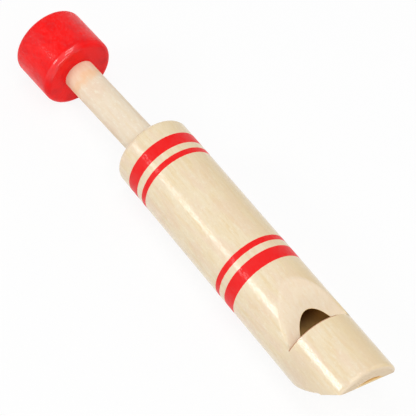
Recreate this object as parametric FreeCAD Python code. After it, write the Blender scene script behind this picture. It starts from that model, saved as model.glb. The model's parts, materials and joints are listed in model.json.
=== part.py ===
import FreeCAD, Part
import math
import os

# Wooden slide whistle, lying on its side with the window upward.
# Lengths in mm, angles in degrees. X runs from the mouth to the knob.
# Stations are measured from the mouth end, heights from the barrel's axis.

# barrel
barrel_radius = 11.5
barrel_length = 99.3
mouth_rounding = 1.4
rear_rounding = 1.7
lip_length = 4.0
lip_chamfer = 0.6

# shares of the barrel's radius
bore_share = 0.7
rod_share = 0.4174
ramp_foot_share = 0.4522
tip_share = 0.5435

# window cut into the barrel's top
window_wall_station = 19.6
ramp_end_station = 34.5

# slanted cut under the mouth, and the block that leaves the windway open
beak_slope = 41.2
beak_roll = 9.0
windway_gap = 0.95

# rod, which leans in its wide rear hole as far as the photograph shows
rod_reach = 43.2
rod_lean = 2.6
lean_clearance = 0.3

# knob, a little thinner than the barrel
knob_step = 0.2
knob_length = 16.5
knob_front_rounding = 1.65
knob_back_rounding = 1.5
knob_socket_depth = 10.0

# piston on the rod's inner end, a short pull from the barrel's rear lip
pull_left = 1.1
head_length = 6.4
head_clearance = 0.35
seal_width = 2.4
seal_depth = 2.4
seal_clearance = 0.05
groove_clearance = 0.08
tenon_radius = 2.5
tenon_play = 0.1
cap_radius = 4.2
cap_thickness = 2.4
cap_chamfer = 0.5

# how far a cutting solid runs past what it cuts, and how near counts as equal
overrun = 3.0
nearness = 0.001

# sizes that follow from those above
bore_radius = barrel_radius * bore_share
rod_radius = barrel_radius * rod_share
knob_radius = barrel_radius - knob_step
ramp_foot_height = barrel_radius * ramp_foot_share
tip_height = barrel_radius * tip_share
lean_rate = math.tan(math.radians(rod_lean))
lip_station = barrel_length - lip_length
piston_station = lip_station - pull_left - head_length / 2
closed_arm = rod_reach - knob_radius * lean_rate - lean_clearance
lip_radius = rod_radius + closed_arm * lean_rate + lean_clearance
seal_radius = bore_radius - seal_clearance
seal_hole_radius = seal_radius - seal_depth
groove_radius = seal_hole_radius - groove_clearance
head_radius = bore_radius - head_clearance
head_hole_radius = tenon_radius + head_length / 2 * lean_rate + tenon_play
shoulder = head_length / 2 + rod_radius * lean_rate + tenon_play
cap_seat = head_length / 2 + cap_radius * lean_rate + tenon_play

centre = FreeCAD.Vector(0, 0, 0)
along = FreeCAD.Vector(1, 0, 0)
across = FreeCAD.Vector(0, 1, 0)
upward = FreeCAD.Vector(0, 0, 1)


def turned(outline):
    """Solid turned about the X axis from (station, radius) corners."""
    corners = [FreeCAD.Vector(x, 0, r) for x, r in outline]
    face = Part.Face(Part.makePolygon(corners + corners[:1]))
    return face.revolve(centre, along, 360)


def cylinder(start, end, radius):
    """Cylinder on the X axis between two stations."""
    return turned([(start, 0), (start, radius), (end, radius), (end, 0)])


def rims(solid, station, radius):
    """The circular edges that lie at a station and a radius."""
    found = []
    for edge in solid.Edges:
        if not isinstance(edge.Curve, Part.Circle):
            continue
        off_station = abs(edge.Curve.Center.x - station)
        off_radius = abs(edge.Curve.Radius - radius)
        if max(off_station, off_radius) < nearness:
            found.append(edge)
    return found


def rounded(solid, station, radius, rounding):
    """Rounds the rim that lies at a station and a radius."""
    return solid.makeFillet(rounding, rims(solid, station, radius))


def prism(outline, half_width, roll):
    """Prism across the whistle from (station, height) corners, then rolled."""
    corners = [FreeCAD.Vector(x, -half_width, h) for x, h in outline]
    face = Part.Face(Part.makePolygon(corners + corners[:1]))
    solid = face.extrude(across * 2 * half_width)
    solid.rotate(centre, along, roll)
    return solid


def beak_cutter():
    """The space under the slanted cut at the mouth end."""
    fall = math.tan(math.radians(beak_slope))
    side = barrel_radius + overrun
    outline = [(-overrun, tip_height + overrun * fall),
               ((tip_height + side) / fall, -side),
               (-overrun, -side)]
    return prism(outline, side, beak_roll)


def window_cutter():
    """The space above the ramp, closed by the upright wall."""
    rise = (barrel_radius - ramp_foot_height) / (ramp_end_station - window_wall_station)
    side = barrel_radius + overrun
    far = ramp_end_station + overrun
    outline = [(window_wall_station, ramp_foot_height),
               (far, barrel_radius + overrun * rise),
               (far, side + overrun * rise),
               (window_wall_station, side + overrun * rise)]
    return prism(outline, side, 0)


def make_barrel():
    """Tube bored from the mouth, with a lip left at the rear."""
    tube = cylinder(0, barrel_length, barrel_radius)
    tube = rounded(tube, 0, barrel_radius, mouth_rounding)
    tube = rounded(tube, barrel_length, barrel_radius, rear_rounding)
    tube = tube.cut(cylinder(-overrun, lip_station, bore_radius))
    tube = tube.cut(cylinder(0, barrel_length + overrun, lip_radius))
    tube = tube.makeChamfer(lip_chamfer, rims(tube, barrel_length, lip_radius))
    return tube.cut(window_cutter()).cut(beak_cutter())


def make_block():
    """Plug in the mouth end, its flat held off the bore by the windway."""
    plug = cylinder(0, window_wall_station, bore_radius)
    flat = bore_radius - windway_gap
    side = bore_radius + overrun
    outline = [(-overrun, flat), (window_wall_station + overrun, flat),
               (window_wall_station + overrun, side), (-overrun, side)]
    return plug.cut(prism(outline, side, beak_roll)).cut(beak_cutter())


def make_seal():
    """Soft ring, square in section, that rubs along the bore."""
    back = piston_station - seal_width / 2
    front = piston_station + seal_width / 2
    return turned([(back, seal_hole_radius), (back, seal_radius),
                   (front, seal_radius), (front, seal_hole_radius)])


def make_head():
    """Piston head, loose on the rod's tenon, with a groove for the ring."""
    back = piston_station - head_length / 2
    front = piston_station + head_length / 2
    half_groove = seal_width / 2 + groove_clearance
    return turned([(back, head_hole_radius), (back, head_radius),
                   (piston_station - half_groove, head_radius),
                   (piston_station - half_groove, groove_radius),
                   (piston_station + half_groove, groove_radius),
                   (piston_station + half_groove, head_radius),
                   (front, head_radius), (front, head_hole_radius)])


def leaned(solid):
    """Moves a solid from the origin to the piston and leans it there."""
    solid.rotate(centre, upward, rod_lean)
    solid.translate(along * piston_station)
    return solid


def make_rod():
    """Rod with a shoulder and a tenon that carries the piston head."""
    tip = cap_seat + cap_thickness
    seat = rod_reach + knob_socket_depth
    return leaned(turned([(-tip, 0), (-tip, tenon_radius), (shoulder, tenon_radius),
                          (shoulder, rod_radius), (seat, rod_radius), (seat, 0)]))


def make_cap():
    """Small turned ring that keeps the head on the tenon."""
    tip = cap_seat + cap_thickness
    rim = cap_radius - cap_chamfer
    return leaned(turned([(-tip, tenon_radius), (-tip, rim),
                          (cap_chamfer - tip, cap_radius),
                          (-cap_seat, cap_radius), (-cap_seat, tenon_radius)]))


def make_knob():
    """Knob with rounded rims and a blind socket for the rod."""
    back = rod_reach + knob_length
    knob = cylinder(rod_reach, back, knob_radius)
    knob = rounded(knob, rod_reach, knob_radius, knob_front_rounding)
    knob = rounded(knob, back, knob_radius, knob_back_rounding)
    socket = cylinder(rod_reach - overrun, rod_reach + knob_socket_depth, rod_radius)
    return leaned(knob.cut(socket))


pieces = {
    "barrel": make_barrel(),
    "windway_block": make_block(),
    "piston_seal": make_seal(),
    "piston_head": make_head(),
    "slide_rod": make_rod(),
    "piston_cap": make_cap(),
    "knob": make_knob(),
}

# the origin lies on the floor, under the middle of the whole whistle
box = Part.makeCompound(list(pieces.values())).optimalBoundingBox(False, False)
foot = FreeCAD.Vector((box.XMin + box.XMax) / 2, (box.YMin + box.YMax) / 2, box.ZMin)
os.makedirs("parts", exist_ok=True)
for name, piece in pieces.items():
    piece.translate(-foot)
    piece.exportStep("parts/" + name + ".step")
    print(name, len(piece.Solids), piece.isValid(), round(piece.Volume, 1))

print("middle", [round(v, 4) for v in foot])
print("size", [round(v, 3) for v in (box.XLength, box.YLength, box.ZLength)])
print("slide in", round(closed_arm - (barrel_length - piston_station), 3))
print("slide out", round(lip_station - piston_station - head_length / 2, 3))
print("lip radius", round(lip_radius, 3))
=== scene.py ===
import json
import math

import bmesh
import bpy
from mathutils import Matrix, Vector


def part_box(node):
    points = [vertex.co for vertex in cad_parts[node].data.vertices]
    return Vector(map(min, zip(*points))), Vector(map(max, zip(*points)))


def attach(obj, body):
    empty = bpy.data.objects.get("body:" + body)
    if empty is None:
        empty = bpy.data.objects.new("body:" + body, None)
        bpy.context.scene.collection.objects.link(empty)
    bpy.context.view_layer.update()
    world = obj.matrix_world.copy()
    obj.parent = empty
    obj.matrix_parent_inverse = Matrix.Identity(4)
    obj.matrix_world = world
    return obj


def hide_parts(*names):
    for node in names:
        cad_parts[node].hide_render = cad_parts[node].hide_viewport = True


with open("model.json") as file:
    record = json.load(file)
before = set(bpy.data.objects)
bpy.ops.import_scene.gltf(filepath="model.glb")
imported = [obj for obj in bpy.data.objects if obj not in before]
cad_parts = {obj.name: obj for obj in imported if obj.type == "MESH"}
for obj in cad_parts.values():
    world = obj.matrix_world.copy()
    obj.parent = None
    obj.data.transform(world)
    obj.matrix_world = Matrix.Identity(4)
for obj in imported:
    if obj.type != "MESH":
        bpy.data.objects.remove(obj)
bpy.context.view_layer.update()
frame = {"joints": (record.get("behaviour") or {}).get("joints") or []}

bl_info = {
    "name": "Slide whistle",
    "version": (1, 0, 0),
    "blender": (4, 5, 0),
    "location": "3D View > Sidebar > Whistle",
    "description": "Turns, cuts and paints the pieces of a wooden slide whistle on its frame",
    "category": "Object",
}

# the frame's box before anything is added, and the lines that the pieces are turned on
JOINTS = {joint["name"]: joint for joint in frame["joints"]}
PISTON = Vector(JOINTS["plunger_twist"]["pos_m"])
LEAN = math.radians(-JOINTS["rod_lean"]["range_deg"][0]) / 2
MOUTH = Vector((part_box("barrel")[0].x, PISTON.y, PISTON.z))

# finishes are laid out in mm, and shapes in metres
MM = 1000

# how near counts as equal, how near points are merged, and how squarely an end face looks
# along its line
NEAR = 2e-5
MERGED = 1e-7
SQUARELY = 0.9

# the angles past which an edge is eased, rounded as a sawn edge, or shaded sharp
SHARP_ANGLE = math.radians(30)
SAWN_ANGLE = math.radians(12)
SMOOTH_ANGLE = math.radians(35)

# the camera, fitted to the whistle's outlines: its place, and its right, upward and backward axes
CAMERA_PLACE = (-0.27405, 0.22828, 0.43555)
CAMERA_AXES = Matrix(((-0.56543, 0.66319, -0.49038),
                      (-0.82042, -0.39105, 0.41712),
                      (0.08487, 0.63817, 0.76521)))
CAMERA_TURN = tuple(CAMERA_AXES.to_euler())


def linear(red, green, blue):
    """A colour's light values from its 0 to 255 screen values."""
    def light(value):
        level = value / 255
        return level / 12.92 if level <= 0.04045 else ((level + 0.055) / 1.055) ** 2.4
    return light(red), light(green), light(blue)


def length(name, default, description):
    """A length property, in metres, shown in the scene's unit."""
    return bpy.props.FloatProperty(name=name, description=description, default=default,
                                   min=0.0, precision=5, unit="LENGTH")


def colour(name, default, description):
    """A colour property."""
    return bpy.props.FloatVectorProperty(name=name, description=description, size=3,
                                         default=default, min=0.0, max=1.0, subtype="COLOR")


def share(name, default, description):
    """A plain number from zero to one."""
    return bpy.props.FloatProperty(name=name, description=description, default=default,
                                   min=0.0, max=1.0, precision=3)


def point(name, default, description):
    """A place in the frame, in metres."""
    return bpy.props.FloatVectorProperty(name=name, description=description, size=3,
                                         default=default, precision=5, subtype="TRANSLATION")


def sides(name, default, description):
    """The two sides of a lamp, in metres."""
    return bpy.props.FloatVectorProperty(name=name, description=description, size=2,
                                         default=default, min=0.0, unit="LENGTH")


def power(name, default, description):
    """The power of a lamp, in watts."""
    return bpy.props.FloatProperty(name=name, description=description, default=default,
                                   min=0.0, unit="POWER")


def degrees(name, default, description):
    """An angle property, given in degrees."""
    return bpy.props.FloatProperty(name=name, description=description,
                                   default=math.radians(default), subtype="ANGLE")


class WhistleBarrel(bpy.types.PropertyGroup):
    """Sizes of the barrel, its window and its slanted mouth."""

    radius: length("Radius", 0.0115, "Outside radius of the barrel")
    length: length("Length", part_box("barrel")[1].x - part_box("barrel")[0].x, "Length of the barrel")
    bore: length("Bore radius", 0.00805, "Radius of the bore that the piston runs in")
    lip_radius: length("Lip radius", 0.0070246, "Radius of the rear hole round the rod")
    lip_length: length("Lip length", 0.004, "How far the rear lip reaches into the bore")
    mouth_rounding: length("Mouth rounding", 0.0014, "Rounding of the rim at the mouth end")
    rear_rounding: length("Rear rounding", 0.0017, "Rounding of the rim at the rear end")
    lip_easing: length("Lip easing", 0.0006, "Rounding of the rear hole's edge")
    wall: length("Wall station", 0.0196, "Distance from the mouth end to the window's wall")
    ramp_end: length("Ramp end", 0.0345, "Distance from the mouth end to the end of the ramp")
    ramp_foot: length("Ramp foot", 0.0052, "Height of the ramp's foot above the axis")
    tip: length("Tip height", 0.00625, "Height of the slanted cut above the axis at the mouth end")
    slope: degrees("Beak slope", 41.2, "Slope of the slanted cut under the mouth")
    roll: degrees("Beak roll", 9.0, "Turn of the slanted cut about the axis, from the window")
    windway: length("Windway", 0.00095, "Height of the windway over the block")
    ramp_easing: length("Ramp easing", 0.0008, "Width of the worn edge round the ramp")
    beak_easing: length("Beak easing", 0.0009, "Rounding of the edge round the slanted cut")
    tip_easing: length("Tip easing", 0.00018, "Rounding of the edge at the tip")
    corner_wear: length("Corner wear", 0.0013, "Rounding of the tip's worn corner, at the -Y side")
    corner_easing: length("Corner easing", 0.0004, "Rounding of the tip's other corner")
    fine_easing: length("Fine easing", 0.00015, "Width of the other sawn edges, once sanded")
    block_easing: length("Block easing", 0.00012, "Rounding of the block's edges")


class WhistlePlunger(bpy.types.PropertyGroup):
    """Sizes of the rod, the knob and the piston."""

    rod_radius: length("Rod radius", 0.0048, "Radius of the rod")
    reach: length("Reach", 0.0432, "Distance from the piston's middle to the knob")
    knob_radius: length("Knob radius", 0.0113, "Radius of the knob")
    knob_length: length("Knob length", 0.0165, "Length of the knob")
    knob_front: length("Front rounding", 0.00165, "Rounding of the knob's rim next to the rod")
    knob_back: length("Back rounding", 0.0015, "Rounding of the knob's outer rim")
    socket: length("Socket depth", 0.010, "Depth of the rod's hole in the knob")
    head_radius: length("Head radius", 0.0077, "Radius of the piston head")
    head_length: length("Head length", 0.0064, "Length of the piston head")
    head_hole: length("Head hole", 0.0027453, "Radius of the hole in the piston head")
    groove_radius: length("Groove radius", 0.00552, "Radius of the groove under the ring")
    groove_width: length("Groove width", 0.00256, "Width of the groove under the ring")
    seal_radius: length("Ring radius", 0.008, "Outside radius of the soft ring")
    seal_hole: length("Ring hole", 0.0056, "Radius of the hole in the soft ring")
    seal_width: length("Ring width", 0.0024, "Width of the soft ring")
    tenon_radius: length("Tenon radius", 0.0025, "Radius of the rod's thin inner end")
    shoulder: length("Shoulder", 0.003518, "Distance from the piston's middle to the shoulder")
    cap_radius: length("Cap radius", 0.0042, "Radius of the end cap")
    cap_seat: length("Cap seat", 0.0034907, "Distance from the piston's middle to the end cap")
    cap_length: length("Cap thickness", 0.0024, "Thickness of the end cap")
    cap_easing: length("Cap easing", 0.0005, "Rounding of the end cap's rim")
    shoulder_easing: length("Shoulder easing", 0.0005, "Rounding of the rod's shoulder")
    head_easing: length("Head easing", 0.00025, "Rounding of the piston head's edges")
    seal_easing: length("Ring easing", 0.0004, "Rounding of the soft ring's edges")


class WhistleFinish(bpy.types.PropertyGroup):
    """Colours of the wood, the paint and the ring."""

    wood: colour("Wood", linear(238, 221, 189), "Colour of the pale wood")
    wood_warm: colour("Warm streaks", linear(229, 201, 148), "Colour of the wood's yellow streaks")
    wood_pink: colour("Pink patches", linear(235, 208, 182), "Colour of the wood's pink patches")
    wood_dark: colour("Pores", linear(178, 142, 98), "Colour of the pores and the dark fibres")
    wood_light: colour("Light flecks", linear(248, 240, 222), "Colour of the wood's light flecks")
    end_grain: colour("End grain", linear(222, 201, 171), "Colour of the end grain at the mouth")
    # painted light: a bright orange that stands for the light inside the windway, on the block's flat
    # and in the bore by the mouth
    windway: colour("Windway", linear(255, 218, 146), "Colour of the wood inside the windway")
    # painted shade: the colour of the dark line in the crease between the ramp and the wall
    wall_crease_shade: colour("Sawn edge", linear(170, 96, 42), "Colour of the burnished edge of the wall")
    raw_wood: colour("Raw wood", linear(241, 223, 196), "Colour of the wood where it is cut")
    rod_wood: colour("Rod wood", linear(241, 226, 203), "Colour of the rod's bare wood")
    bore_wood: colour("Bore", linear(252, 213, 138), "Colour of the wood inside the bore")
    # painted shade: the bore is painted dark past the window
    bore_painted_shade: colour("Deep bore", linear(124, 72, 28), "Colour of the bore past the window")
    paint: colour("Paint", linear(248, 6, 6), "Colour of the red paint")
    ring_paint: colour("Ring paint", linear(237, 4, 4), "Colour of the painted rings")
    paint_deep: colour("Deep paint", linear(214, 8, 20), "Colour of the paint where it lies thick")
    # partly painted light: the rod's stain colour also stands for red light bounced from the knob
    stain_and_red_bounce: colour("Stain", linear(241, 198, 156), "Colour of the rod where it is stained")
    tide: colour("Tide mark", linear(240, 184, 112), "Colour of the line where the stain ends")
    rubber: colour("Rubber", linear(38, 36, 35), "Colour of the soft ring")
    gloss: share("Gloss", 1.0, "How much clear varnish lies on the barrel")


class WhistleStage(bpy.types.PropertyGroup):
    """Settings of the floor, the lights and the camera."""

    floor_size: length("Floor size", 4.0, "Side of the square floor")
    floor_colour: colour("Floor colour", (0.92, 0.92, 0.92), "Colour of the pale floor")
    floor_glow: share("Floor glow", 0.9, "How far the floor the camera sees is lifted to white")
    world_level: share("World level", 0.3, "Strength of the white surroundings")
    strip_place: point("Strip place", (0.435, 0.730, 0.504), "Place of the narrow light")
    strip_along: point("Strip along", (0.954, -0.260, -0.152), "Way that the narrow light runs")
    strip_size: sides("Strip size", (0.29, 0.19), "Sides of the narrow light")
    strip_power: power("Strip power", 1.1, "Power of the narrow light")
    near_place: point("Near place", (0.275, 0.775, 0.530), "Place of the light near the mouth")
    near_along: point("Near along", (0.954, -0.260, -0.152), "Way that the near light runs")
    near_size: sides("Near size", (0.29, 0.28), "Sides of the light near the mouth")
    near_power: power("Near power", 1.65, "Power of the light near the mouth")
    top_place: point("Overhead place", (0.09, 0.06, 0.80), "Place of the light overhead")
    top_along: point("Overhead along", (0.0, 1.0, 0.0), "Way that the light overhead runs")
    top_size: sides("Overhead size", (0.42, 0.16), "Sides of the light overhead")
    top_power: power("Overhead power", 1.4, "Power of the light overhead")
    fill_place: point("Fill place", (-0.10, -0.70, 0.42), "Place of the large far light")
    fill_along: point("Fill along", (1.0, 0.0, 0.0), "Way that the large far light runs")
    fill_size: sides("Fill size", (0.7, 0.5), "Sides of the large far light")
    fill_power: power("Fill power", 1.2, "Power of the large far light")
    front_place: point("Front place", (-0.40, 0.10, 0.72), "Place of the large light at the front")
    front_along: point("Front along", (0.0, 1.0, 0.0), "Way that the front light runs")
    front_size: sides("Front size", (0.4, 0.4), "Sides of the large light at the front")
    front_power: power("Front power", 1.95, "Power of the large light at the front")
    low_place: point("Low place", (-0.85, 0.15, 0.15), "Place of the low light at the front")
    low_along: point("Low along", (0.0, 1.0, 0.0), "Way that the low light runs")
    low_size: sides("Low size", (0.5, 0.25), "Sides of the low light at the front")
    low_power: power("Low power", 1.3, "Power of the low light at the front")
    camera_place: point("Camera place", CAMERA_PLACE, "Place of the camera")
    camera_turn: bpy.props.FloatVectorProperty(name="Camera turn", size=3, default=CAMERA_TURN,
                                               subtype="EULER", description="Turn of the camera")
    camera_lens: bpy.props.FloatProperty(name="Lens", default=173.26, min=1.0, unit="CAMERA",
                                         description="Focal length of the camera")


# lines, blanks and cuts

class Line:
    """The line that a piece is turned on, from a point and leaning toward +Y."""

    def __init__(self, origin, lean=0.0):
        self.origin = Vector(origin)
        self.lean = lean
        self.direction = Vector((math.cos(lean), math.sin(lean), 0))

    def at(self, station):
        """The point of the line at a station."""
        return self.origin + self.direction * station

    def station(self, point):
        """How far along the line a point lies."""
        return (point - self.origin).dot(self.direction)

    def radius(self, point):
        """How far from the line a point lies."""
        return (point - self.at(self.station(point))).length


BARREL_LINE = Line(MOUTH)
PISTON_LINE = Line(PISTON)
ROD_LINE = Line(PISTON, LEAN)

# how many sides a round blank has, and how far a sanding cut reaches, in metres
SIDES = 144
SANDER_REACH = 0.015

# how the sawn edges' rounding dies out, in metres from where it starts
RAMP_EDGE_START = 0.0005
RAMP_EDGE_FAINT = 0.0015
RAMP_EDGE_FADE = 0.009
BEAK_EDGE_FADE = 0.002
FINE_EDGE_FADE = 0.0006

# the barrel's finish, in mm: where the rings start and end from the mouth end, then the
# radii over which the paint and the varnish begin, and those over which the bore ends
PAINTED_RINGS = ((42.1, 46.3), (48.6, 50.5), (84.7, 86.6), (88.9, 93.0))
PAINT_RADII = (10.8, 11.3)
VARNISH_RADII = (10.55, 10.8)
BORE_RADII = (8.06, 8.11)

# stations in mm over which the tint at the mouth end fades, and over which the painted shade on the -Y
# side weakens and the varnish thins
MOUTH_TINTED = (16.0, 24.0)
SIDE_SHADE_AND_GLOSS_FADE = (30.0, 45.0)

# the rod's stain, which also paints the red light that the knob bounces onto it: how far before the
# knob it starts, in metres, and the widths of its soft edge and of its tide mark, in mm
STAIN_AND_BOUNCE_REACH = 0.0075
STAIN_AND_BOUNCE_EDGE = 2.5
TIDE_WIDTH = 2.0

# the way that the knob's polished rim and the wood's layers look, as shares of Y and Z
RIM_LOOKS = (0.61, 0.79)
LAYERS_LOOK = (0.62, 0.78)


def clear_bench():
    """Leaves the edit mode and selects nothing."""
    if bpy.context.mode == "EDIT_MESH":
        bpy.ops.object.mode_set(mode="OBJECT")
    bpy.ops.object.select_all(action="DESELECT")


def blank(name, line, start, end, radius):
    """A round blank between two stations of a line."""
    clear_bench()
    bpy.ops.mesh.primitive_cylinder_add(
        vertices=SIDES, radius=radius, depth=end - start, end_fill_type="NGON",
        location=line.at((start + end) / 2), rotation=(0, math.radians(90), line.lean))
    piece = bpy.context.active_object
    piece.name = piece.data.name = name
    bpy.ops.object.transform_apply(location=True, rotation=True, scale=True)
    return piece


def edit(piece, kind):
    """Opens a piece for editing faces, edges or vertices, with nothing selected."""
    bpy.context.view_layer.objects.active = piece
    if bpy.context.mode != "EDIT_MESH":
        bpy.ops.object.mode_set(mode="EDIT")
    bpy.ops.mesh.select_mode(type=kind)
    bpy.ops.mesh.select_all(action="DESELECT")
    return bmesh.from_edit_mesh(piece.data)


def hold(piece):
    """Leaves the edit mode with this piece alone selected."""
    clear_bench()
    piece.select_set(True)
    bpy.context.view_layer.objects.active = piece


def pick_faces(piece, test):
    """Selects the faces whose middle and normal pass a test."""
    mesh = edit(piece, "FACE")
    found = [face for face in mesh.faces if test(face.calc_center_median(), face.normal)]
    if not found:
        raise RuntimeError(piece.name + ": no face is there to select")
    for face in found:
        face.select_set(True)
    bmesh.update_edit_mesh(piece.data)


def pick_edges(piece, test):
    """Selects the edges whose two ends pass a test."""
    mesh = edit(piece, "EDGE")
    found = [edge for edge in mesh.edges if all(test(end.co) for end in edge.verts)]
    if not found:
        raise RuntimeError(piece.name + ": no edge is there to select")
    for edge in found:
        edge.select_set(True)
    bmesh.update_edit_mesh(piece.data)


def end_face(piece, line, station, facing):
    """Selects the flat face at a station that looks along or against its line."""
    pick_faces(piece, lambda middle, normal: abs(line.station(middle) - station) < NEAR
               and normal.dot(line.direction) * facing > SQUARELY)


def inset_to(radius_now, radius_new):
    """Insets the selected round face to a smaller radius."""
    bpy.ops.mesh.inset(thickness=(radius_now - radius_new) * math.cos(math.pi / SIDES))


def push(line, distance):
    """Extrudes the selected face along a line."""
    bpy.ops.mesh.extrude_region_move(
        TRANSFORM_OT_translate={"value": tuple(line.direction * distance)})


def round_rim(piece, line, station, radius, rounding, segments):
    """Rounds the rim at a station and a radius."""
    pick_edges(piece, lambda end: abs(line.station(end) - station) < NEAR
               and abs(line.radius(end) - radius) < NEAR)
    bpy.ops.mesh.bevel(offset_type="OFFSET", offset=rounding, segments=segments,
                       profile=0.5, affect="EDGES")


def join_discs(piece, line):
    """Opens a hole between the two round faces that are left on a line."""
    pick_faces(piece, lambda middle, normal: line.radius(middle) < NEAR)
    bpy.ops.mesh.bridge_edge_loops()


def drill_through(piece, line, start, end, radius_now, radius_hole):
    """Opens a round hole from one end face to the other."""
    for station, facing in ((start, -1), (end, 1)):
        end_face(piece, line, station, facing)
        inset_to(radius_now, radius_hole)
    join_discs(piece, line)


def cut_flat(piece, point, looks, trimmed=True):
    """Cuts a piece by a plane; trimmed, it keeps the side that the plane looks to."""
    edit(piece, "FACE")
    bpy.ops.mesh.select_all(action="SELECT")
    bpy.ops.mesh.bisect(plane_co=point, plane_no=looks, use_fill=trimmed, clear_inner=trimmed)


def finish_shape(piece):
    """Points the faces outward and shades the curves smooth."""
    edit(piece, "FACE")
    bpy.ops.mesh.select_all(action="SELECT")
    bpy.ops.mesh.remove_doubles(threshold=MERGED)
    bpy.ops.mesh.normals_make_consistent(inside=False)
    hold(piece)
    bpy.ops.object.shade_smooth_by_angle(angle=SMOOTH_ANGLE)
    weighted = piece.modifiers.new("even shading", "WEIGHTED_NORMAL")
    weighted.keep_sharp = True
    bpy.ops.object.modifier_apply(modifier=weighted.name)


def soften(piece, width, segments):
    """Eases every sharp edge by one width."""
    hold(piece)
    easing = piece.modifiers.new("easing", "BEVEL")
    easing.limit_method = "ANGLE"
    easing.angle_limit = SHARP_ANGLE
    easing.width = width
    easing.segments = segments
    bpy.ops.object.modifier_apply(modifier=easing.name)


def wedge(name, low, high, planes):
    """A block between two corners, trimmed by planes that look to the side they keep."""
    clear_bench()
    middle = (low + high) / 2
    bpy.ops.mesh.primitive_cube_add(size=1, location=middle)
    block = bpy.context.active_object
    block.name = name
    block.scale = high - low
    bpy.ops.object.transform_apply(location=True, rotation=True, scale=True)
    for point, looks in planes:
        cut_flat(block, point, looks)
    clear_bench()
    return block


def cut_away(piece, cutter):
    """Takes a cutter's space out of a piece."""
    hold(piece)
    saw = piece.modifiers.new("saw", "BOOLEAN")
    saw.operation = "DIFFERENCE"
    saw.solver = "EXACT"
    saw.object = cutter
    bpy.ops.object.modifier_apply(modifier=saw.name)
    bpy.data.objects.remove(cutter)


def round_by_planes(piece, corner, first, second, radius, cuts):
    """Rounds the edge between two faces, given by their outward normals, with flat cuts."""
    middle = corner - (first + second) * (radius / (1 + first.dot(second)))
    reach = Vector((SANDER_REACH, SANDER_REACH, SANDER_REACH))
    for step in range(1, cuts + 1):
        outward = first.slerp(second, step / (cuts + 1))
        cut_away(piece, wedge("sander", corner - reach, corner + reach,
                              [(middle + outward * radius, outward)]))


def rolled_up(sizes):
    """The upward direction, rolled about the axis as the slanted cut is."""
    return Vector((0, -math.sin(sizes.roll), math.cos(sizes.roll)))


def beak_plane(sizes):
    """A point on the slanted cut and the way its kept side looks."""
    up = rolled_up(sizes)
    looks = (Vector((math.tan(sizes.slope), 0, 0)) + up).normalized()
    return MOUTH + up * sizes.tip, looks


def ramp_plane(sizes):
    """A point on the window's ramp and the way the cut-out looks."""
    rise = (sizes.radius - sizes.ramp_foot) / (sizes.ramp_end - sizes.wall)
    foot = MOUTH + Vector((sizes.wall, 0, sizes.ramp_foot))
    return foot, Vector((-rise, 0, 1)).normalized()


# shader maths

class Port:
    """One output of a node, on which Python's own signs work."""

    def __init__(self, graph, socket):
        self.graph = graph
        self.socket = socket

    def other(self, name):
        """Another output of the same node."""
        return Port(self.graph, self.socket.node.outputs[name])

    def sum(self, operation, first, second):
        """The output of a Math node for this operation."""
        return self.graph.node("ShaderNodeMath", {"operation": operation}, {0: first, 1: second})

    def size(self):
        """How far the value is from zero."""
        return self.sum("ABSOLUTE", self, None)

    def __add__(self, other):
        return self.sum("ADD", self, other)

    def __radd__(self, other):
        return self.sum("ADD", other, self)

    def __sub__(self, other):
        return self.sum("SUBTRACT", self, other)

    def __rsub__(self, other):
        return self.sum("SUBTRACT", other, self)

    def __mul__(self, other):
        return self.sum("MULTIPLY", self, other)

    def __rmul__(self, other):
        return self.sum("MULTIPLY", other, self)

    def __truediv__(self, other):
        return self.sum("DIVIDE", self, other)

    def __pow__(self, other):
        return self.sum("POWER", self, other)


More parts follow.
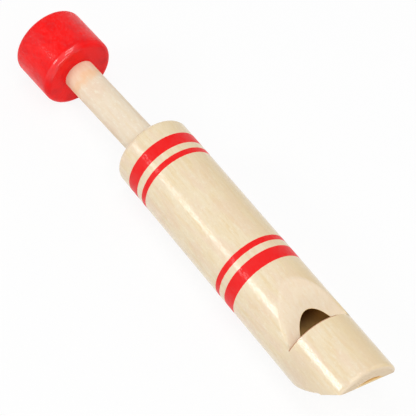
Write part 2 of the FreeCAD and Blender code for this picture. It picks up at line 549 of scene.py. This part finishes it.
class Graph:
    """The nodes of one material, or of the world."""

    def __init__(self, owner):
        owner.use_nodes = True
        self.tree = owner.node_tree
        self.tree.nodes.clear()

    def node(self, kind, settings=None, sockets=None, output=0):
        """Adds a node: its settings first, then its sockets' values or links."""
        made = self.tree.nodes.new(kind)
        for name, value in (settings or {}).items():
            setattr(made, name, value)
        for key, value in (sockets or {}).items():
            if isinstance(value, Port):
                self.tree.links.new(value.socket, made.inputs[key])
            elif value is not None:
                made.inputs[key].default_value = value
        return Port(self, made.outputs[output]) if made.outputs else None

    def between(self, value, low, high):
        """Rises softly from 0 to 1 while a value goes from low to high."""
        return self.node("ShaderNodeMapRange", {"interpolation_type": "SMOOTHSTEP"},
                         {"Value": value, "From Min": low, "From Max": high})

    def tint(self, first, second, factor):
        """Colour between two others."""
        first, second = (c if isinstance(c, Port) else (*c, 1.0) for c in (first, second))
        return self.node("ShaderNodeMix", {"data_type": "RGBA", "clamp_factor": True},
                         {0: factor, 6: first, 7: second}, output=2)

    def stretched(self, place, along):
        """A place whose first coordinate is scaled, so that noise runs with the grain."""
        return self.node("ShaderNodeVectorMath", {"operation": "MULTIPLY"},
                         {0: place, 1: (along, 1.0, 1.0)})

    def noise(self, place, scale, detail=2.0, roughness=0.5, distortion=0.0):
        """Soft noise from 0 to 1, about 0.5."""
        return self.node("ShaderNodeTexNoise", {},
                         {"Vector": place, "Scale": scale, "Detail": detail,
                          "Roughness": roughness, "Distortion": distortion})

    def wave(self, value, spacing):
        """Rises and falls between 0 and 1, once in each spacing."""
        return value.sum("SINE", value * (2 * math.pi / spacing), None) * 0.5 + 0.5

    def place(self, line):
        """Place on a piece in mm, x along its line."""
        where = self.node("ShaderNodeTexCoord").other("Object")
        turned = Matrix.Rotation(-line.lean, 3, "Z") @ (-line.origin)
        return self.node("ShaderNodeMapping", {},
                         {"Vector": where, "Location": turned * MM,
                          "Rotation": (0, 0, -line.lean), "Scale": (MM, MM, MM)})

    def surface(self, colour, roughness, bump=None, bump_height=0.0, **more):
        """The closing shader, with a bump of a height in mm."""
        sockets = {"Base Color": colour if isinstance(colour, Port) else (*colour, 1.0),
                   "Roughness": roughness, "Specular IOR Level": 0.1}
        if bump is not None:
            sockets["Normal"] = self.node("ShaderNodeBump", {},
                                          {"Strength": 1.0, "Distance": bump_height / MM,
                                           "Height": bump})
        for name, value in more.items():
            sockets[name.replace("_", " ")] = value
        shader = self.node("ShaderNodeBsdfPrincipled", {}, sockets)
        self.node("ShaderNodeOutputMaterial", {}, {"Surface": shader})


def new_graph(name):
    """An empty material and its graph."""
    material = bpy.data.materials.new(name)
    return material, Graph(material)


def pale_wood(graph, place, finish, plain, figure=1.0, mottling=0.35):
    """Colour of pale wood with its grain along x, and the height of its fibres."""
    parts = graph.node("ShaderNodeSeparateXYZ", {}, {0: place})
    y, z = parts.other("Y"), parts.other("Z")
    wander = graph.noise(graph.stretched(place, 0.3), 0.16, 2.0)
    across, upward = LAYERS_LOOK
    layers = graph.wave(y * across + z * upward + wander * 4.5, 1.7)
    streaks = graph.noise(graph.stretched(place, 0.12), 1.1, 3.0, 0.55)
    patches = graph.noise(graph.stretched(place, 0.35), 0.3, 2.0)
    mottle = graph.noise(graph.stretched(place, 0.6), 1.1, 3.0, 0.6)
    fibres = graph.noise(graph.stretched(place, 0.12), 3.4, 3.0, 0.6)
    pores = graph.noise(graph.stretched(place, 0.2), 6.0, 1.0)
    warm = graph.between(streaks, 0.44, 0.7) * 0.5 + layers * 0.12
    colour = graph.tint(plain, finish.wood_warm, warm * figure)
    colour = graph.tint(colour, finish.wood_pink, graph.between(patches, 0.42, 0.66)
                        * (0.35 * figure + 0.43 * mottling))
    colour = graph.tint(colour, finish.wood_light, graph.between(mottle, 0.5, 0.75) * mottling)
    dark = graph.between(pores, 0.64, 0.75) * 0.16 + graph.between(fibres, 0.55, 0.8) * 0.1
    return graph.tint(colour, finish.wood_dark, dark * (0.4 + 0.6 * figure)), fibres, (parts, y, z)


def varnished_wood(finish, sizes):
    """The barrel's wood: varnish and red rings outside, raw where it is cut, painted shade on the -Y
    side and in the crease at the wall, and painted light and shade inside.
    """
    material, graph = new_graph("varnished_wood")
    place = graph.place(BARREL_LINE)
    colour, _, (x, y, z) = pale_wood(graph, place, finish, finish.wood)
    raw, _, _ = pale_wood(graph, place, finish, finish.raw_wood, 0.45)
    radius = (y * y + z * z) ** 0.5
    outside = graph.between(radius, *PAINT_RADII)
    varnished = graph.between(radius, *VARNISH_RADII)
    inside = 1 - graph.between(radius, *BORE_RADII)
    # painted shade: the -Y side is tinted darker and yellower, most near the mouth
    side_shade = 0.75 - graph.between(x, *SIDE_SHADE_AND_GLOSS_FADE) * 0.25
    colour = graph.tint(colour, finish.wood_warm, (1 - graph.between(y, -7.0, 3.0)) * side_shade)
    wall = sizes.wall * MM
    edge = x + (graph.noise(place, 1.3) - 0.5) * 0.16
    rings = 0.0
    for start, end in PAINTED_RINGS:
        rings = rings + graph.between(edge, start - 0.05, start + 0.05) * (
            1 - graph.between(edge, end - 0.05, end + 0.05))
    painted = rings * outside
    # the height of the ramp over a place, where the sander has taken the varnish off
    rise = (sizes.radius - sizes.ramp_foot) / (sizes.ramp_end - sizes.wall)
    level = (x - wall) * rise - z + sizes.ramp_foot * MM
    sanded = graph.between(x, wall + 4, wall + 8) * (1 - graph.between(level, 0.1, 0.7))
    # near the mouth end the wood is tinted toward the end grain's colour, a little all round and more
    # on the +Y side
    mouth_tint = (1 - graph.between(x, *MOUTH_TINTED)) * (0.1 + graph.between(y, 8.5, 10.5) * 0.3)
    colour = graph.tint(colour, finish.end_grain, mouth_tint)
    colour = graph.tint(raw, colour, outside * (1 - sanded))
    colour = graph.tint(colour, finish.end_grain, (1 - graph.between(x, 0.1, 0.7)) * 0.95)
    # painted shade: a dark line in the crease where the ramp meets the wall's lower edge
    sawn = graph.between(x, wall - 0.35, wall - 0.2)
    sawn = sawn * (1 - graph.between(x, wall + 0.02, wall + 0.1))
    sawn = sawn * graph.between(y, -5.2, -3.4) * graph.between(z, 4.8, 5.2)
    colour = graph.tint(colour, finish.wall_crease_shade, sawn * 0.8)
    colour = graph.tint(colour, finish.ring_paint, painted)
    # inside the bore, painted light and shade: bright orange near the mouth, darkening to painted
    # shade past the window
    stained = graph.tint(finish.windway, finish.bore_wood, graph.between(x, 3.0, 12.0))
    painted_shade = graph.between(x, wall + 8, wall + 14) * 0.97
    stained = graph.tint(stained, finish.bore_painted_shade, painted_shade)
    colour = graph.tint(colour, stained, inside)
    flecks = graph.noise(graph.stretched(place, 0.5), 1.2, 2.0, 0.6, 0.8)
    hairs = graph.noise(graph.stretched(place, 0.12), 6.0, 1.0)
    # the varnish lies thick in winding flecks, and thin between them
    worms = 1 - graph.between((flecks - 0.5).size(), 0.03, 0.08)
    flowed = (1 - painted) * (0.2 + (1 - graph.between(x, *SIDE_SHADE_AND_GLOSS_FADE)) * 0.14)
    varnish = worms * (0.7 + painted * 0.3) + (1 - worms) * flowed
    varnished = varnished * (1 - sanded) * (1 - painted * 0.7)
    varnish = varnish * (1 - sanded)
    graph.surface(colour, 0.6 - varnished * (0.3 * finish.gloss), flecks + hairs * 0.1, 0.075,
                  Specular_IOR_Level=0.25, Coat_Weight=varnish * varnished * finish.gloss,
                  Coat_Roughness=0.1)
    return material


def raw_wood(name, line, finish, plain, stain_and_bounce_from=None, flat=None):
    """Sanded wood with no varnish; past a place on its line it is stained and tinted with painted
    light bounced from the red knob, and on a rolled flat it takes the windway's painted light.
    """
    material, graph = new_graph(name)
    place = graph.place(line)
    figure, mottling = (0.45, 0.65) if stain_and_bounce_from else (0.6, 0.35)
    colour, fibres, (x, y, z) = pale_wood(graph, place, finish, plain, figure, mottling)
    if flat:
        height, roll = flat
        level = z * math.cos(roll) - y * math.sin(roll)
        colour = graph.tint(colour, finish.wood_warm, (1 - graph.between(x, 0.0, 1.0)) * 0.8)
        cut = graph.between(level, height - 0.1, height - 0.03)
        # painted light: the block's flat under the windway takes the bright windway colour in place of
        # the light in the slit
        colour = graph.tint(colour, finish.windway, cut)
    if stain_and_bounce_from:
        edge = x + (graph.noise(place, 0.4) - 0.5) * 5
        soft_edge_end = stain_and_bounce_from + STAIN_AND_BOUNCE_EDGE
        stain_and_bounce = graph.between(edge, stain_and_bounce_from, soft_edge_end)
        tide = stain_and_bounce * (1 - graph.between(edge, soft_edge_end, soft_edge_end + TIDE_WIDTH))
        # partly painted light: the stain's pink-orange also stands for the red light bounced from the
        # knob
        colour = graph.tint(colour, finish.stain_and_red_bounce, stain_and_bounce * 0.35)
        colour = graph.tint(colour, finish.tide, tide * 0.3)
    graph.surface(colour, 0.6, fibres, 0.02)
    return material


def red_paint(finish, sizes):
    """The knob's glossy red paint, through which the wood's grain shows a little."""
    material, graph = new_graph("red_paint")
    place = graph.place(ROD_LINE)
    fibres = graph.noise(graph.stretched(place, 0.6), 1.5, 3.0, 0.6)
    hairs = graph.noise(graph.stretched(place, 0.15), 6.0, 1.0)
    thick = graph.between(graph.noise(graph.stretched(place, 0.6), 0.3), 0.4, 0.7)
    colour = graph.tint(finish.paint, finish.paint_deep, thick * 0.5)
    x = graph.node("ShaderNodeSeparateXYZ", {}, {0: place})
    y, z = x.other("Y"), x.other("Z")
    radius = (y * y + z * z) ** 0.5
    start, side = sizes.reach * MM, sizes.knob_radius * MM
    rim = (sizes.knob_radius - sizes.knob_front) * MM
    # the rim is polished where a hand rubs it
    across, upward = RIM_LOOKS
    polished = 1 - graph.between(x, start + 1.3, start + 2.1)
    polished = polished * graph.between(radius, rim, rim + 0.4)
    polished = polished * graph.between((y * across + z * upward) / radius, 0.7, 0.93)
    flecks = graph.noise(graph.stretched(place, 0.5), 1.6, 2.0, 0.6, 0.8)
    brushed = 1 - graph.between((flecks - 0.5).size(), 0.02, 0.05)
    brushed = brushed * graph.between(radius, side - 0.3, side - 0.1)
    brushed = brushed * graph.between(x, start + 2.1, start + 2.9)
    graph.surface(colour, 0.24 + fibres * 0.36, fibres + hairs * 0.15, 0.11,
                  Specular_IOR_Level=0.18, Coat_Weight=polished + brushed * 0.6,
                  Coat_Roughness=0.09)
    return material


def soft_rubber(finish):
    """The ring's matt black rubber."""
    material, graph = new_graph("soft_rubber")
    place = graph.place(PISTON_LINE)
    specks = graph.noise(place, 6.0, 3.0)
    colour = graph.tint(finish.rubber, linear(70, 68, 66), graph.between(specks, 0.5, 0.8) * 0.4)
    graph.surface(colour, 0.7 + specks * 0.15, specks, 0.01)
    return material


def dress(piece, body, node, material):
    """Gives a piece its finish and its body, and hides the node that it stands for."""
    piece.data.materials.clear()
    piece.data.materials.append(material)
    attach(piece, body)
    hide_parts(node)


class WHISTLE_OT_barrel(bpy.types.Operator):
    """Turn the barrel, bore it, and cut its window and its slanted mouth"""

    bl_idname = "whistle.barrel"
    bl_label = "Barrel"

    def execute(self, context):
        sizes = context.scene.whistle_barrel
        line = BARREL_LINE
        piece = blank("barrel_turned", line, 0, sizes.length, sizes.radius)
        lip = sizes.length - sizes.lip_length
        end_face(piece, line, 0, -1)
        inset_to(sizes.radius, sizes.bore)
        push(line, lip)
        inset_to(sizes.bore, sizes.lip_radius)
        end_face(piece, line, sizes.length, 1)
        inset_to(sizes.radius, sizes.lip_radius)
        join_discs(piece, line)
        round_rim(piece, line, 0, sizes.radius, sizes.mouth_rounding, 8)
        round_rim(piece, line, sizes.length, sizes.radius, sizes.rear_rounding, 8)
        round_rim(piece, line, sizes.length, sizes.lip_radius, sizes.lip_easing, 4)
        # the cutters reach past the barrel on every side
        side = sizes.radius * 1.3
        foot, ramp_looks = ramp_plane(sizes)
        low = MOUTH + Vector((sizes.wall, -side, 0))
        high = MOUTH + Vector((sizes.ramp_end + sizes.lip_length, side, side * 1.5))
        cut_away(piece, wedge("window_cutter", low, high, [(foot, ramp_looks)]))
        tip, beak_looks = beak_plane(sizes)
        low = MOUTH - Vector((side, side * 2, side * 2))
        high = MOUTH + Vector((side * 3, side * 2, side * 2))
        cut_away(piece, wedge("beak_cutter", low, high, [(tip, -beak_looks)]))
        self.ease_tip(piece, sizes)
        self.ease_cuts(piece, sizes)
        finish_shape(piece)
        finish = context.scene.whistle_finish
        dress(piece, "barrel", "barrel", varnished_wood(finish, sizes))
        return {"FINISHED"}

    def ease_tip(self, piece, sizes):
        """Rounds the tip's edge and its two corners with flat cuts, as sandpaper does."""
        tip, beak_looks = beak_plane(sizes)
        round_by_planes(piece, tip, Vector((-1, 0, 0)), -beak_looks, sizes.tip_easing, cuts=4)
        up = rolled_up(sizes)
        aside = up.cross(Vector((1, 0, 0)))
        station = sizes.mouth_rounding
        height = sizes.tip - station * math.tan(sizes.slope)
        for facing, rounding in ((-1, sizes.corner_wear), (1, sizes.corner_easing)):
            outward = up * height + aside * (facing * math.sqrt(sizes.radius ** 2 - height ** 2))
            corner = MOUTH + Vector((station, 0, 0)) + outward
            round_by_planes(piece, corner, outward.normalized(), -beak_looks, rounding, cuts=5)

    def ease_cuts(self, piece, sizes):
        """Rounds the sawn edges together, each by its own width."""
        line = BARREL_LINE
        foot, ramp_looks = ramp_plane(sizes)
        tip, beak_looks = beak_plane(sizes)
        tests = {
            "end": lambda end: abs(line.station(end)) < NEAR,
            "wall": lambda end: abs(line.station(end) - sizes.wall) < NEAR,
            "ramp": lambda end: abs((end - foot).dot(ramp_looks)) < NEAR,
            "beak": lambda end: abs((end - tip).dot(beak_looks)) < NEAR,
            "outer": lambda end: line.radius(end) > sizes.radius * 0.99,
            "bored": lambda end: line.radius(end) < sizes.bore * 1.01,
        }
        widths = {("end", "bored"): sizes.fine_easing, ("beak", "bored"): sizes.fine_easing,
                  ("beak", "outer"): sizes.beak_easing, ("ramp", "outer"): sizes.ramp_easing,
                  ("wall", "outer"): sizes.fine_easing}
        widest = max(widths.values())
        # the sander leaves two stub edges on the beak's outline, too short to be rounded
        mesh = edit(piece, "VERT")
        for vertex in mesh.verts:
            vertex.select_set(tests["beak"](vertex.co) and tests["outer"](vertex.co))
        bmesh.update_edit_mesh(piece.data)
        bpy.ops.mesh.remove_doubles(threshold=sizes.fine_easing)
        mesh = edit(piece, "EDGE")
        weight = (mesh.edges.layers.float.get("bevel_weight_edge")
                  or mesh.edges.layers.float.new("bevel_weight_edge"))
        for edge in mesh.edges:
            if len(edge.link_faces) < 2 or edge.calc_face_angle(0) <= SAWN_ANGLE:
                continue
            ends = [end.co for end in edge.verts]
            for names, width in widths.items():
                if all(tests[name](end) for name in names for end in ends):
                    edge[weight] = width / widest
            first = min(line.station(end) for end in ends)
            last = max(line.station(end) for end in ends)
            if all(tests["ramp"](end) for end in ends):
                # the worn edge dies out toward the wall and toward the ramp's top
                past, left = first - sizes.wall, sizes.ramp_end - last
                edge[weight] *= (0.0 if past < RAMP_EDGE_START
                                 else 0.6 if past < RAMP_EDGE_FAINT
                                 else min(1.0, 0.15 + left / RAMP_EDGE_FADE))
            elif all(tests["beak"](end) and tests["outer"](end) for end in ends):
                # the beak's outline starts behind the rounded corners of the tip
                past = first - 2 * sizes.mouth_rounding
                edge[weight] *= min(1.0, max(0.0, past / BEAK_EDGE_FADE))
            elif all(tests["wall"](end) for end in ends):
                above = min(end.z for end in ends) - MOUTH.z - sizes.ramp_foot
                edge[weight] *= min(1.0, max(0.0, above / FINE_EDGE_FADE - 1))
            elif all(tests["bored"](end) for end in ends):
                # the bore's easing dies out before it meets the tip's
                clear = min(max(line.station(end), abs((end - tip).dot(beak_looks)))
                            for end in ends)
                edge[weight] *= min(1.0, max(0.0, clear / FINE_EDGE_FADE - 1))
        bmesh.update_edit_mesh(piece.data)
        hold(piece)
        easing = piece.modifiers.new("easing", "BEVEL")
        easing.limit_method = "WEIGHT"
        easing.width = widest
        easing.segments = 6
        easing.use_clamp_overlap = False
        bpy.ops.object.modifier_apply(modifier=easing.name)


class WHISTLE_OT_windway_block(bpy.types.Operator):
    """Turn the block and cut its windway flat and its slanted end"""

    bl_idname = "whistle.windway_block"
    bl_label = "Windway block"

    def execute(self, context):
        sizes = context.scene.whistle_barrel
        finish = context.scene.whistle_finish
        piece = blank("block_turned", BARREL_LINE, 0, sizes.wall, sizes.bore)
        up = rolled_up(sizes)
        flat = MOUTH + up * (sizes.bore - sizes.windway)
        tip, beak_looks = beak_plane(sizes)
        for point, looks in ((flat, -up), (tip, beak_looks)):
            cut_flat(piece, point, looks)
        soften(piece, sizes.block_easing, segments=2)
        finish_shape(piece)
        dress(piece, "barrel", "windway_block",
              raw_wood("block_wood", BARREL_LINE, finish, finish.raw_wood,
                       flat=((sizes.bore - sizes.windway) * MM, sizes.roll)))
        return {"FINISHED"}


class WHISTLE_OT_piston(bpy.types.Operator):
    """Turn the piston head, its soft ring and the cap that keeps it on the rod"""

    bl_idname = "whistle.piston"
    bl_label = "Piston"

    def execute(self, context):
        sizes = context.scene.whistle_plunger
        finish = context.scene.whistle_finish
        self.turn_head(sizes, finish)
        self.turn_ring(sizes, finish)
        self.turn_cap(sizes, finish)
        return {"FINISHED"}

    def turn_head(self, sizes, finish):
        """The head, with a groove cut round it and a hole for the rod's thin end."""
        half = sizes.head_length / 2
        piece = blank("head_turned", PISTON_LINE, -half, half, sizes.head_radius)
        for station in (-sizes.groove_width / 2, sizes.groove_width / 2):
            cut_flat(piece, PISTON_LINE.at(station), PISTON_LINE.direction, trimmed=False)
        pick_faces(piece, lambda middle, normal: abs(PISTON_LINE.station(middle)) < NEAR
                   and abs(normal.x) < 0.5)
        bpy.ops.mesh.extrude_region_shrink_fatten(
            TRANSFORM_OT_shrink_fatten={"value": -(sizes.head_radius - sizes.groove_radius)})
        drill_through(piece, PISTON_LINE, -half, half, sizes.head_radius, sizes.head_hole)
        soften(piece, sizes.head_easing, segments=3)
        finish_shape(piece)
        dress(piece, "piston", "piston_head",
              raw_wood("head_wood", PISTON_LINE, finish, finish.raw_wood))

    def turn_ring(self, sizes, finish):
        """The soft ring that lies in the groove."""
        half = sizes.seal_width / 2
        piece = blank("ring_moulded", PISTON_LINE, -half, half, sizes.seal_radius)
        drill_through(piece, PISTON_LINE, -half, half, sizes.seal_radius, sizes.seal_hole)
        soften(piece, sizes.seal_easing, segments=4)
        finish_shape(piece)
        dress(piece, "seal", "piston_seal", soft_rubber(finish))

    def turn_cap(self, sizes, finish):
        """The end cap, glued on the rod's thin end."""
        start, end = -sizes.cap_seat - sizes.cap_length, -sizes.cap_seat
        piece = blank("cap_turned", ROD_LINE, start, end, sizes.cap_radius)
        drill_through(piece, ROD_LINE, start, end, sizes.cap_radius, sizes.tenon_radius)
        round_rim(piece, ROD_LINE, start, sizes.cap_radius, sizes.cap_easing, 5)
        finish_shape(piece)
        dress(piece, "plunger", "piston_cap",
              raw_wood("cap_wood", ROD_LINE, finish, finish.raw_wood))


class WHISTLE_OT_rod(bpy.types.Operator):
    """Turn the rod with its shoulder and its thin inner end"""

    bl_idname = "whistle.rod"
    bl_label = "Rod"

    def execute(self, context):
        sizes = context.scene.whistle_plunger
        finish = context.scene.whistle_finish
        seat = sizes.reach + sizes.socket
        piece = blank("rod_turned", ROD_LINE, sizes.shoulder, seat, sizes.rod_radius)
        end_face(piece, ROD_LINE, sizes.shoulder, -1)
        inset_to(sizes.rod_radius, sizes.tenon_radius)
        push(ROD_LINE, -(sizes.shoulder + sizes.cap_seat + sizes.cap_length))
        round_rim(piece, ROD_LINE, sizes.shoulder, sizes.rod_radius, sizes.shoulder_easing, 4)
        finish_shape(piece)
        dress(piece, "plunger", "slide_rod",
              raw_wood("rod_wood", ROD_LINE, finish, finish.rod_wood,
                       (sizes.reach - STAIN_AND_BOUNCE_REACH) * MM))
        return {"FINISHED"}


class WHISTLE_OT_knob(bpy.types.Operator):
    """Turn the knob, round its rims and bore its socket"""

    bl_idname = "whistle.knob"
    bl_label = "Knob"

    def execute(self, context):
        sizes = context.scene.whistle_plunger
        back = sizes.reach + sizes.knob_length
        piece = blank("knob_turned", ROD_LINE, sizes.reach, back, sizes.knob_radius)
        end_face(piece, ROD_LINE, sizes.reach, -1)
        inset_to(sizes.knob_radius, sizes.rod_radius)
        push(ROD_LINE, sizes.socket)
        round_rim(piece, ROD_LINE, sizes.reach, sizes.knob_radius, sizes.knob_front, 10)
        round_rim(piece, ROD_LINE, back, sizes.knob_radius, sizes.knob_back, 10)
        finish_shape(piece)
        dress(piece, "plunger", "knob",
              red_paint(context.scene.whistle_finish, sizes))
        return {"FINISHED"}


class WHISTLE_OT_stage(bpy.types.Operator):
    """Lay the floor, hang the lights and set the camera"""

    bl_idname = "whistle.stage"
    bl_label = "Stage"

    def execute(self, context):
        stage = context.scene.whistle_stage
        self.lay_floor(stage)
        self.light_world(context.scene, stage)
        for name in ("strip", "near", "top", "fill", "front", "low"):
            self.soft_light(name, *(getattr(stage, name + end) for end in
                                    ("_place", "_along", "_size", "_power")))
        self.set_camera(context.scene, stage)
        context.scene.view_settings.view_transform = "Standard"
        return {"FINISHED"}

    def lay_floor(self, stage):
        """A pale floor, which the camera sees as nearly white."""
        clear_bench()
        bpy.ops.mesh.primitive_plane_add(size=stage.floor_size, location=(0, 0, 0))
        floor = bpy.context.active_object
        floor.name = "floor"
        material, graph = new_graph("pale_floor")
        seen = self.seen_directly(graph)
        pale = graph.node("ShaderNodeBsdfDiffuse", {}, {"Color": (*stage.floor_colour, 1.0)})
        glow = graph.node("ShaderNodeEmission", {}, {"Color": (1, 1, 1, 1), "Strength": 1.0})
        mixed = graph.node("ShaderNodeMixShader", {},
                           {0: seen * stage.floor_glow, 1: pale, 2: glow})
        graph.node("ShaderNodeOutputMaterial", {}, {"Surface": mixed})
        floor.data.materials.append(material)

    def seen_directly(self, graph):
        """1 for what the camera sees directly, or in a reflection or through glass."""
        path = graph.node("ShaderNodeLightPath")
        rays = [path.other(name) for name in
                ("Is Camera Ray", "Is Glossy Ray", "Is Transmission Ray")]
        return rays[0].sum("MAXIMUM", rays[0], rays[0].sum("MAXIMUM", rays[1], rays[2]))

    def light_world(self, scene, stage):
        """White surroundings that light the whistle only a little."""
        scene.world = bpy.data.worlds.new("white_room")
        graph = Graph(scene.world)
        seen = self.seen_directly(graph)
        strength = seen * (1 - stage.world_level) + stage.world_level
        light = graph.node("ShaderNodeBackground", {},
                           {"Color": (1, 1, 1, 1), "Strength": strength})
        graph.node("ShaderNodeOutputWorld", {}, {"Surface": light})

    def soft_light(self, name, place, along, size, power):
        """A flat lamp that looks at the whistle, one side along a direction."""
        place, along = Vector(place), Vector(along)
        back = (place - Vector((0, 0, PISTON.z))).normalized()
        right = (along - back * along.dot(back)).normalized()
        turn = Matrix((right, back.cross(right), back)).transposed().to_euler()
        bpy.ops.object.light_add(type="AREA", location=place, rotation=turn)
        lamp = bpy.context.active_object
        lamp.name = name + "_light"
        lamp.data.shape = "RECTANGLE"
        lamp.data.size, lamp.data.size_y = size
        lamp.data.energy = power

    def set_camera(self, scene, stage):
        """The camera at the viewing angle that was fitted."""
        bpy.ops.object.camera_add(location=stage.camera_place, rotation=stage.camera_turn)
        camera = bpy.context.active_object
        camera.name = "camera"
        camera.data.lens = stage.camera_lens
        camera.data.sensor_width = 36.0
        camera.data.clip_start, camera.data.clip_end = 0.01, 20.0
        scene.camera = camera


class WHISTLE_PT_pieces(bpy.types.Panel):
    """Lists the pieces in the order in which they are made"""

    bl_idname = "WHISTLE_PT_pieces"
    bl_label = "Slide whistle"
    bl_space_type = "VIEW_3D"
    bl_region_type = "UI"
    bl_category = "Whistle"

    def draw(self, context):
        for step in STEPS:
            self.layout.operator(step.bl_idname)
        for name, group in GROUPS.items():
            box = self.layout.box()
            box.label(text=group.__name__)
            for prop in group.__annotations__:
                box.prop(getattr(context.scene, name), prop)


STEPS = (WHISTLE_OT_barrel, WHISTLE_OT_windway_block, WHISTLE_OT_piston,
         WHISTLE_OT_rod, WHISTLE_OT_knob, WHISTLE_OT_stage)
GROUPS = {"whistle_barrel": WhistleBarrel, "whistle_plunger": WhistlePlunger,
          "whistle_finish": WhistleFinish, "whistle_stage": WhistleStage}
CLASSES = (*GROUPS.values(), *STEPS, WHISTLE_PT_pieces)


def register():
    """Registers the classes and hangs the settings on the scene."""
    for one in CLASSES:
        bpy.utils.register_class(one)
    for name, group in GROUPS.items():
        setattr(bpy.types.Scene, name, bpy.props.PointerProperty(type=group))


def unregister():
    """Takes the settings and the classes away again."""
    for name in GROUPS:
        delattr(bpy.types.Scene, name)
    for one in reversed(CLASSES):
        bpy.utils.unregister_class(one)


def main():
    """Registers the classes, makes every piece and sets the stage."""
    register()
    bpy.ops.whistle.barrel()
    bpy.ops.whistle.windway_block()
    bpy.ops.whistle.piston()
    bpy.ops.whistle.rod()
    bpy.ops.whistle.knob()
    bpy.ops.whistle.stage()


if __name__ == "__main__":
    main()
